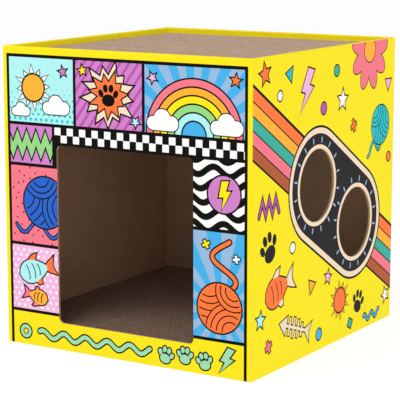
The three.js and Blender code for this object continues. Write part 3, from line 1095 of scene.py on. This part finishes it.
def crushed(solid, loop, d0, d1, back=0.30, thick=0.28):
    """The medium where a knife pressed it flat round an opening: a wavy band just behind the edge that half closes
    the cells. The loop runs anticlockwise round the opening."""
    near, far = along(grow(loop, back), 1.3), along(grow(loop, back + thick), 1.3)
    m = min(len(near), len(far))
    if len(near) != len(far):
        far = grow(near, thick)
        m = len(near)
    length, at = 0.0, []
    for i in range(m):
        at.append(length)
        length += math.dist(near[i], near[(i + 1) % m])
    waves = round(length / PITCH)
    half, mid = (d1 - d0) * 0.30, (d0 + d1) / 2
    verts, faces = [], []
    for i in range(m):
        shift = (d1 - d0) * 0.17 * math.sin(TAU * waves * at[i] / length)
        for ring in (near, far):
            for d in (mid + shift - half, mid + shift + half):
                verts.append((ring[i][0], d, ring[i][1]))
    for i in range(m):
        a, b = 4 * i, 4 * ((i + 1) % m)
        faces += [(a, b, b + 1, a + 1), (a + 2, a + 3, b + 3, b + 2), (a, a + 2, b + 2, b), (a + 1, b + 1, b + 3, a + 3)]
    solid.add(verts, faces, [1] * len(faces))


# ---------------------------------------------------------------- the four walls
Z = np.array([0.0, 0.0, 1.0])
TOP0 = HEIGHT - FOLD
TOP1 = TOP0 + FOLD * math.pi / 2
TOP2 = TOP1 + RIM - 2 * FOLD
TOP3 = TOP2 + FOLD * math.pi / 2
FOOT0 = TUCK - TUCK * math.pi / 2
FOOT1 = FOOT0 - (2.8 - TUCK)


def profile(t):
    """How far in, how high and which way the sheet faces, at arc length t up the wall, over the rim and down inside."""
    if t < FOOT0:
        return TUCK + FOOT0 - t, 0.0, -math.pi / 2
    if t < TUCK:
        a = (TUCK - t) / TUCK
        return TUCK * (1 - math.cos(a)), TUCK * (1 - math.sin(a)), -a
    if t <= TOP0:
        return 0.0, t, 0.0
    if t <= TOP1:
        a = (t - TOP0) / FOLD
        return FOLD * (1 - math.cos(a)), HEIGHT - FOLD + FOLD * math.sin(a), a
    if t <= TOP2:
        return FOLD + t - TOP1, HEIGHT, math.pi / 2
    if t <= TOP3:
        a = (t - TOP2) / FOLD
        return RIM - FOLD + FOLD * math.sin(a), HEIGHT - FOLD + FOLD * math.cos(a), math.pi / 2 + a
    return RIM, HEIGHT - FOLD - (t - TOP3), math.pi


def wall(name, n, u, a, d, ends, drop, art, holes, along, nodes):
    """One printed wall with its turned-over rim. ends are for -u and +u: crease, cut or tuck."""
    n, u = np.array(n, float), np.array(u, float)
    flat, reach = {}, {}
    for side, kind in zip((-1, 1), ends):
        flat[side] = {"crease": a - CREASE, "cut": a, "tuck": a - BOARD - 0.3 - CREASE}[kind]
        reach[side] = flat[side] + {"crease": CREASE * math.pi / 4, "cut": 0.0, "tuck": CREASE * math.pi / 2}[kind]
    bottom = TOP3 + (HEIGHT - FOLD - drop)

    def limit(side, deep):
        kind = ends[0 if side < 0 else 1]
        if kind == "crease":
            return flat[side] if deep <= CREASE else a - deep - 0.12
        if kind == "cut":
            return a if deep < BOARD else a - BOARD - 0.12
        return flat[side]

    def edge(side):
        kind = ends[0 if side < 0 else 1]
        out = [(reach[side], FOOT1)]
        t28 = TOP1 + 2.8 - FOLD
        if kind == "cut":
            t30 = TOP1 + BOARD - FOLD
            out += [(a, t30 - 0.02), (limit(side, 3.01), t30)]
        else:
            out += [(reach[side], t28), (flat[side], t28 + 0.01), (flat[side], TOP1 + CREASE - FOLD)]
        ts = [TOP2] + [TOP2 + (TOP3 - TOP2) * k / 6 for k in range(1, 7)] + [bottom]
        for t in ts:
            out.append((limit(side, profile(t)[0]), t))
        return [(side * s, t) for s, t in out]

    domain = edge(1) + edge(-1)[::-1]
    lines = []
    lo, hi = -reach[-1] - 1, reach[1] + 1
    marks = [TUCK + (FOOT0 - TUCK) * k / 5 for k in range(6)]
    marks += [TOP0 + (TOP1 - TOP0) * k / 6 for k in range(7)] + [TOP2 + (TOP3 - TOP2) * k / 6 for k in range(7)]
    lines += [((lo, t), (hi, t)) for t in marks]
    for side, kind in zip((-1, 1), ends):
        if kind != "cut":
            steps = 6 if kind == "crease" else 12
            for k in range(steps):
                s = side * (flat[side] + (reach[side] - flat[side]) * k / steps)
                lines.append(((s, FOOT1 - 1), (s, TOP1 + 2.8 - FOLD)))
    pts, tris, tops = triangulate([domain] + holes, lines, art.shapes, art.windows)

    outer, inner = np.zeros((len(pts), 3)), np.zeros((len(pts), 3))
    for i, (s, t) in enumerate(pts):
        side = 1 if s >= 0 else -1
        bend = max(0.0, (abs(s) - flat[side]) / CREASE)
        out = n * math.cos(bend) + u * (side * math.sin(bend))
        if bend > 0:
            at = u * (side * (flat[side] + CREASE * math.sin(bend))) - n * (CREASE * (1 - math.cos(bend)))
        else:
            at = u * s
        deep, z, lean = profile(t)
        p = at + n * d - out * deep + Z * z
        face = out * math.cos(lean) + Z * math.sin(lean)
        outer[i], inner[i] = p, p - face * LINER
    m = len(pts)
    rim = rim_edges(tris)
    faces = [t for t in tris] + [(t[2] + m, t[1] + m, t[0] + m) for t in tris] + [(q, p, p + m, q + m) for p, q in rim]
    colours, uvs = [], []
    for tri, top in zip(tris, tops):
        c = INK[art.base if top < 0 else art.shapes[top][1]]
        colours += [(*c, 1.0)] * 3
    colours += [(*INK["kraft"], 0.0)] * (3 * len(tris))
    colours += [(*INK["paper"], 0.0)] * (4 * len(rim))
    span = bottom - FOOT1 + 2
    k = 0.99 / span
    main = [((s - lo) * k + 0.003, (t - FOOT1) * k + 0.003) for s, t in pts]
    strip0 = (hi - lo) * k + 0.02
    small = (0.985 - strip0) / (hi - lo)
    spare = [((s - lo) * small + strip0, (t - FOOT1) * k * 0.9 + 0.003) for s, t in pts]
    for tri in tris:
        uvs += [main[i] for i in tri]
    for tri in tris:
        uvs += [spare[i] for i in tri[::-1]]
    q = ((0.988, 0.95), (0.997, 0.95), (0.997, 0.99), (0.988, 0.99))
    uvs += list(q) * len(rim)
    piece(name + "_print", np.concatenate([outer, inner]), faces, MAT["print_" + along], "carton", nodes, colours, uvs)

    # kraft side of the wall and of its flap, with the flutes between the papers
    core = Solid()
    ends_at = {}
    for side, kind in zip((-1, 1), ends):
        ends_at[side] = side * (a - BOARD - 0.3 - (0.0 if kind != "cut" else -2.9) if kind != "tuck" else a - BOARD - 0.4 - BOARD)
    body_loop = [(ends_at[-1], 0.6), (ends_at[1], 0.6), (ends_at[1], HEIGHT - 0.7), (ends_at[-1], HEIGHT - 0.7)]
    slab(core, [body_loop] + holes, BOARD - LINER, BOARD)
    flutes(core, [body_loop] + holes, LINER + 0.02, BOARD - LINER - 0.02)
    for hole in holes:
        crushed(core, list(hole), LINER + 0.02, BOARD - LINER - 0.02)
    f0, f1 = -(limit(-1, RIM) - 0.2), limit(1, RIM) - 0.2
    flap_loop = [(f0, drop + 0.1), (f1, drop + 0.1), (f1, HEIGHT - 3.0), (f0, HEIGHT - 3.0)]
    slab(core, [flap_loop], BOARD + 0.3, BOARD + 0.3 + LINER)
    flutes(core, [flap_loop], BOARD + 0.3 + LINER + 0.02, RIM - LINER - 0.02, phase=1.0)
    v = core.verts()
    world = v[:, :1] * u - v[:, 1:2] * n + n * d + v[:, 2:3] * Z
    piece(name + "_board", world, core.f, MAT["kraft_" + along], "carton", nodes, cut=core.cut)


door_hole = round_rect(DOOR[0], DOOR[1], DOOR[2], DOOR[3], DOOR[4], 8)
peep_holes = [circle(x, z, r, 96) for x, z, r in PEEPS]
wall("front_wall", (0, -1, 0), (1, 0, 0), WIDTH / 2, DEPTH / 2, ("crease", "crease"), 340.0, front_art(), [door_hole], "x", ("front_wall", "front_rim_flap"))
wall("right_wall", (1, 0, 0), (0, 1, 0), DEPTH / 2, WIDTH / 2, ("crease", "crease"), 362.7, right_art(), peep_holes, "y", ("right_wall", "right_rim_flap"))
wall("back_wall", (0, 1, 0), (-1, 0, 0), WIDTH / 2, DEPTH / 2, ("crease", "cut"), 340.0, back_art(), [], "x", ("back_wall", "back_rim_flap"))
wall("left_wall", (-1, 0, 0), (0, -1, 0), DEPTH / 2, WIDTH / 2, ("tuck", "crease"), 362.7, left_art(), [], "y", ("left_wall", "left_rim_flap"))


# ---------------------------------------------------------------- plain kraft boards
def kraft_board(name, node, body, origin, u, v, n, loops, thick, mat, upright=True, phase=0.0):
    """A loose corrugated board. Local u and v lie in the board, depth goes against n."""
    s = Solid()
    slab(s, loops, 0.0, LINER)
    slab(s, loops, thick - LINER, thick)
    flutes(s, loops, LINER + 0.02, thick - LINER - 0.02, upright=upright, phase=phase)
    for loop in loops[1:]:
        crushed(s, list(loop), LINER + 0.02, thick - LINER - 0.02)
    p = s.verts()
    origin, u, v, n = (np.array(q, float) for q in (origin, u, v, n))
    world = origin + p[:, :1] * u - p[:, 1:2] * n + p[:, 2:3] * v
    faces = s.f
    if np.dot(np.cross(u, -n), v) < 0:
        faces = [f[::-1] for f in faces]
    return piece(name, world, faces, mat, body, (node,), cut=s.cut)


def corners(node):
    lo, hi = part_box(node)
    return np.array(lo) / MM, np.array(hi) / MM


lo, hi = corners("front_support")
kraft_board("front_support_board", "front_support", "carton", (0, lo[1], 0), (1, 0, 0), (0, 0, 1), (0, -1, 0),
            [rect(lo[0], lo[2], hi[0], hi[2]), round_rect(-111.5, 29.0, 113.5, 282.0, 15.0, 10)], BOARD, MAT["kraft_x"])
lo, hi = corners("back_support")
kraft_board("back_support_board", "back_support", "carton", (0, hi[1], 0), (-1, 0, 0), (0, 0, 1), (0, 1, 0),
            [rect(-hi[0], lo[2], -lo[0], hi[2])], BOARD, MAT["kraft_back"], phase=0.7)
lo, hi = corners("glue_flap")
kraft_board("glue_flap_board", "glue_flap", "carton", (0, hi[1], 0), (-1, 0, 0), (0, 0, 1), (0, 1, 0),
            [rect(-hi[0], lo[2], -lo[0], hi[2])], BOARD, MAT["kraft_x"], phase=0.3)
lo, hi = corners("shelf")
kraft_board("shelf_board", "shelf", "shelf", (0, 0, hi[2]), (1, 0, 0), (0, 1, 0), (0, 0, 1),
            [rect(lo[0], lo[1], hi[0], hi[1])], BOARD, MAT["kraft_flat_x"])
for side in ("front", "back"):
    lo, hi = corners(side + "_base_flap")
    kraft_board(side + "_base_board", side + "_base_flap", "carton", (0, 0, hi[2]), (1, 0, 0), (0, 1, 0), (0, 0, 1),
                [rect(lo[0], lo[1], hi[0], hi[1])], BOARD, MAT["kraft_flat_x"])


# ---------------------------------------------------------------- outer base flaps, printed underneath
def base_flap(side):
    node, body = side + "_base_flap", side + "_base"
    lo, hi = corners(node)
    x0, x1, y0, y1 = lo[0], hi[0], lo[1], hi[1]
    art = Art("yellow")
    sgn = -1 if side == "left" else 1
    # local axes seen from below: u along +y for the left flap so that the face is outwards
    loops = [rect(y0, x0, y1, x1)]
    cx = (x0 + x1) / 2
    for k in range(5):
        a_y = -150 + 75 * k
        if k % 2 == 0:
            art.lined(circle(a_y, cx, 13.0), "mint", 1.6)
            art.put(circle(a_y, cx, 6.5), "yellow")
        else:
            paw(art, a_y, cx, 20.0, "charcoal", (math.pi / 2) * sgn)
    art.put(rect(y0, cx - sgn * 70 - 1.5, y1, cx - sgn * 70 + 1.5), "black")
    art.put(rect(y0, cx + sgn * 70 - 1.5, y1, cx + sgn * 70 + 1.5), "black")
    pts, tris, tops = triangulate(loops, (), art.shapes, art.windows)
    m = len(pts)
    low = np.column_stack([pts[:, 1], pts[:, 0], np.zeros(m)])
    up = low + np.array([0, 0, LINER])
    rim = rim_edges(tris)
    faces = [t for t in tris] + [(t[2] + m, t[1] + m, t[0] + m) for t in tris] + [(q, p, p + m, q + m) for p, q in rim]
    colours = []
    for tri, top in zip(tris, tops):
        colours += [(*INK[art.base if top < 0 else art.shapes[top][1]], 1.0)] * 3
    colours += [(*INK["kraft"], 0.0)] * (3 * len(tris)) + [(*INK["paper"], 0.0)] * (4 * len(rim))
    k = 0.98 / (y1 - y0)
    main = [((b - y0) * k + 0.005, (c - x0) * k + 0.005) for b, c in pts]
    spare = [((b - y0) * k + 0.005, (c - x0) * k + 0.505) for b, c in pts]
    uvs = [main[i] for t in tris for i in t] + [spare[i] for t in tris for i in t[::-1]]
    uvs += list(((0.01, 0.985), (0.03, 0.985), (0.03, 0.995), (0.01, 0.995))) * len(rim)
    piece(side + "_base_print", np.concatenate([low, up]), faces, MAT["print_y"], body, (node,), colours, uvs)
    s = Solid()
    # depth runs upwards from the printed face
    slab(s, loops, BOARD - LINER, BOARD)
    flutes(s, loops, LINER + 0.02, BOARD - LINER - 0.02)
    p = s.verts()
    piece(side + "_base_board", np.column_stack([p[:, 2], p[:, 0], p[:, 1]]), s.f, MAT["kraft_flat_y"], body, (node,), cut=s.cut)


base_flap("left")
base_flap("right")


# ---------------------------------------------------------------- scratch pads
def scratch_pad(name, node, body, strip, pitch, seed, mat):
    """Strips of corrugated board glued side by side with their flutes on end. Strips from one sheet stay
    together, so their waves keep step over a run of strips."""
    rnd = random.Random(seed)
    lo, hi = corners(node)
    x0, x1, y0, y1, z0, z1 = lo[0], hi[0], lo[1], hi[1], lo[2], hi[2]
    count = round((y1 - y0 - 0.5) / strip)
    strip = (y1 - y0 - 0.5) / count
    paper, thin = 0.72, 0.32
    verts, faces = [], []
    box = ((0, 3, 2, 1), (4, 5, 6, 7), (0, 1, 5, 4), (1, 2, 6, 5), (2, 3, 7, 6), (3, 0, 4, 7))
    tops = [z1 - rnd.uniform(0.0, 0.22) for _ in range(count + 1)]
    tops[0] = z1
    for j in range(count + 1):
        y = y0 + j * strip
        xa, xb = (x0, x1) if j in (0, count) else (x0 + rnd.uniform(0.0, 0.7), x1 - rnd.uniform(0.0, 0.7))
        b = len(verts)
        for z in (z0, tops[j]):
            verts += [(xa, y, z), (xb, y, z), (xb, y + paper, z), (xa, y + paper, z)]
        faces += [tuple(b + i for i in f) for f in box]
    steps = 5
    phase, run = 0.0, 0
    for j in range(count):
        if run == 0:
            run, phase = rnd.randint(2, 5), rnd.uniform(0, TAU)
        run -= 1
        phase += TAU * (0.27 + rnd.uniform(-0.03, 0.03))
        mid = y0 + j * strip + (strip + paper) / 2
        amp = (strip - paper - thin) / 2 + 0.02
        p = pitch * rnd.uniform(0.996, 1.004)
        xa, xb = x0 + rnd.uniform(0.3, 1.2), x1 - rnd.uniform(0.3, 1.2)
        n = int((xb - xa) / (p / steps))
        xs = np.linspace(xa, xb, n + 1)
        turn = TAU * xs / p + phase
        y = mid + amp * np.sin(turn)
        slope = amp * TAU / p * np.cos(turn)
        nx, ny = -slope / np.hypot(1, slope), 1 / np.hypot(1, slope)
        top = min(tops[j], tops[j + 1]) - rnd.uniform(0.03, 0.15)
        b = len(verts)
        for i in range(n + 1):
            for s in (-1, 1):
                for z in (z0 + 0.1, top):
                    verts.append((xs[i] + s * thin / 2 * nx[i], y[i] + s * thin / 2 * ny[i], z))
        for i in range(n):
            q = b + 4 * i
            faces += [(q, q + 4, q + 5, q + 1), (q + 2, q + 3, q + 7, q + 6), (q, q + 2, q + 6, q + 4), (q + 1, q + 5, q + 7, q + 3)]
        e = b + 4 * n
        faces += [(b, b + 1, b + 3, b + 2), (e, e + 2, e + 3, e + 1)]
    return piece(name, verts, faces, mat, body, (node,))


scratch_pad("top_pad_strips", "top_scratch_pad", "top_pad", 3.9, 7.8, SEED + 1, MAT["pad"])
scratch_pad("floor_pad_strips", "floor_scratch_pad", "floor_pad", 3.9, 7.8, SEED + 2, MAT["floor_pad"])


# ---------------------------------------------------------------- floor, light and camera
def stage_floor():
    """A pale floor that sweeps up into a low round backdrop."""
    m, nt, bsdf = material("pale_floor")
    n = Net(nt)
    soft = n.noise(n.at(), 1.3, 2.0, 0.5)
    n.join(n.mix(soft, (0.215, 0.215, 0.215, 1), (0.225, 0.225, 0.225, 1)), bsdf.inputs["Base Color"])
    bsdf.inputs["Roughness"].default_value = 0.9
    bsdf.inputs["Specular IOR Level"].default_value = 0.1
    bsdf.inputs["Emission Color"].default_value = (1, 1, 1, 1)
    bsdf.inputs["Emission Strength"].default_value = 0.83
    section = [(1.5, 0.0), (4.0, 0.0), (9.0, 0.0)]
    section += [(9.0 + 1.4 * math.sin(t), 1.4 - 1.4 * math.cos(t)) for t in np.linspace(0.15, math.pi / 2, 9)]
    section.append((10.4, 2.6))
    seg = 64
    verts, faces = [(0.0, 0.0, 0.0)], []
    for r, z in section:
        verts += [(r * math.cos(TAU * i / seg), r * math.sin(TAU * i / seg), z) for i in range(seg)]
    faces += [(0, 1 + i, 1 + (i + 1) % seg) for i in range(seg)]
    for k in range(len(section) - 1):
        q = 1 + k * seg
        faces += [(q + i, q + seg + i, q + seg + (i + 1) % seg, q + (i + 1) % seg) for i in range(seg)]
    me = bpy.data.meshes.new("floor")
    me.from_pydata(verts, [], faces)
    me.materials.append(m)
    me.polygons.foreach_set("use_smooth", [True] * len(faces))
    ob = bpy.data.objects.new("floor", me)
    bpy.context.scene.collection.objects.link(ob)
    ob.location.z = -0.0002


def area_light(name, at, to, size, power, colour=(1, 1, 1)):
    data = bpy.data.lights.new(name, "AREA")
    data.shape = "SQUARE"
    data.size = size
    data.energy = power
    data.color = colour
    ob = bpy.data.objects.new(name, data)
    bpy.context.scene.collection.objects.link(ob)
    ob.location = at
    ob.rotation_mode = "QUATERNION"
    ob.rotation_quaternion = (Vector(to) - Vector(at)).to_track_quat("-Z", "Y")
    return ob


stage_floor()
world = bpy.data.worlds.new("studio")
bpy.context.scene.world = world
world.use_nodes = True
world.node_tree.nodes["Background"].inputs[0].default_value = (1.0, 1.0, 1.0, 1)
world.node_tree.nodes["Background"].inputs[1].default_value = 0.5
area_light("front_softbox", (-0.35, -1.85, 3.05), (0, 0, 0.2), 1.9, 52)
area_light("side_softbox", (3.30, 0.20, 1.45), (0, 0, 0.2), 2.4, 27)

AZIMUTH, PITCH_DOWN = math.radians(31.685), math.radians(10.091)
cam_data = bpy.data.cameras.new("camera")
cam = bpy.data.objects.new("camera", cam_data)
bpy.context.scene.collection.objects.link(cam)
cam.location = (1.15136, -1.87850, 0.57341)
look = Vector((-math.sin(AZIMUTH) * math.cos(PITCH_DOWN), math.cos(AZIMUTH) * math.cos(PITCH_DOWN), -math.sin(PITCH_DOWN)))
cam.rotation_mode = "QUATERNION"
cam.rotation_quaternion = look.to_track_quat("-Z", "Y")
cam_data.sensor_width = 36.0
cam_data.lens = 146.18
cam_data.clip_start, cam_data.clip_end = 0.05, 100.0
bpy.context.scene.camera = cam

bpy.context.scene.view_settings.view_transform = "Standard"
bpy.context.scene.view_settings.look = "None"
